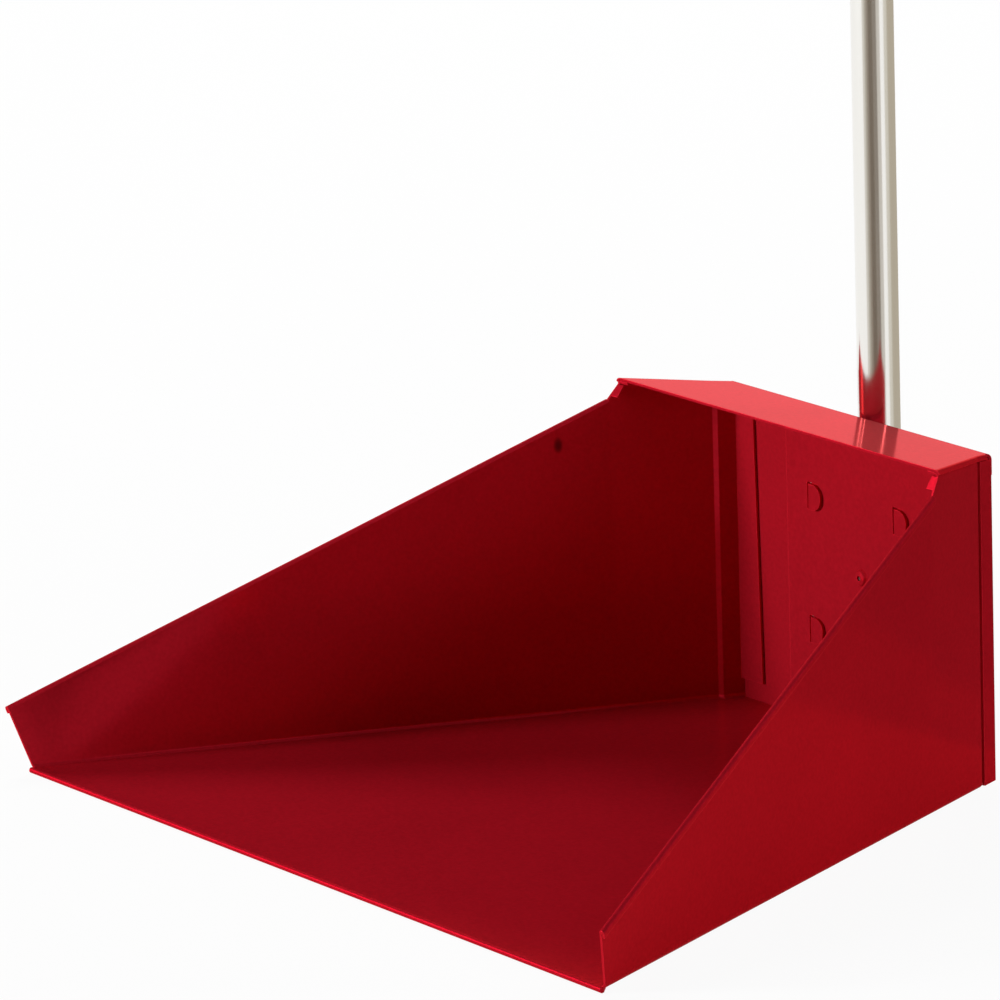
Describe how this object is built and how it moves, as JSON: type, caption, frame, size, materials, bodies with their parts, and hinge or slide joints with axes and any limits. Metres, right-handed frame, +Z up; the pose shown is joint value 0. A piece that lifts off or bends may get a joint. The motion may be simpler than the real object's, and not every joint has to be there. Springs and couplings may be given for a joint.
{
  "type": "upright dustpan",
  "caption": "Upright dustpan: splayed tray of folded painted sheet steel with a lip over its back wall, on a rigid chromed tube handle with a hanging eye.",
  "frame": {"origin": "on the ground, under the middle of the part's bounding box", "axes": "+Z up along the handle, mouth of the pan towards -Y, +X to the right seen from the mouth's side"},
  "size_m": [0.372, 0.2836, 0.814],
  "materials": {
    "pan_paint": "gloss red powder coat on sheet steel",
    "panel_paint": "gloss red powder coat on sheet steel",
    "plate_paint": "gloss red powder coat on sheet steel",
    "bracket_paint": "gloss red powder coat on sheet steel",
    "tube_chrome": "bright chromed steel tube",
    "plug_plastic": "black moulded plastic",
    "grip_plastic": "black moulded plastic with a fine grain",
    "rivet_paint": "red painted steel rivet",
    "mandrel_steel": "broken-off steel rivet stem"
  },
  "bodies": {
    "root": {"pan_body": "pan_paint", "back_panel": "panel_paint", "back_plate": "plate_paint", "handle_bracket": "bracket_paint", "handle_tube": "tube_chrome", "tube_plug": "plug_plastic", "hand_grip": "grip_plastic", "rivet_body": "rivet_paint", "rivet_mandrel": "mandrel_steel"}
  },
  "joints": []
}
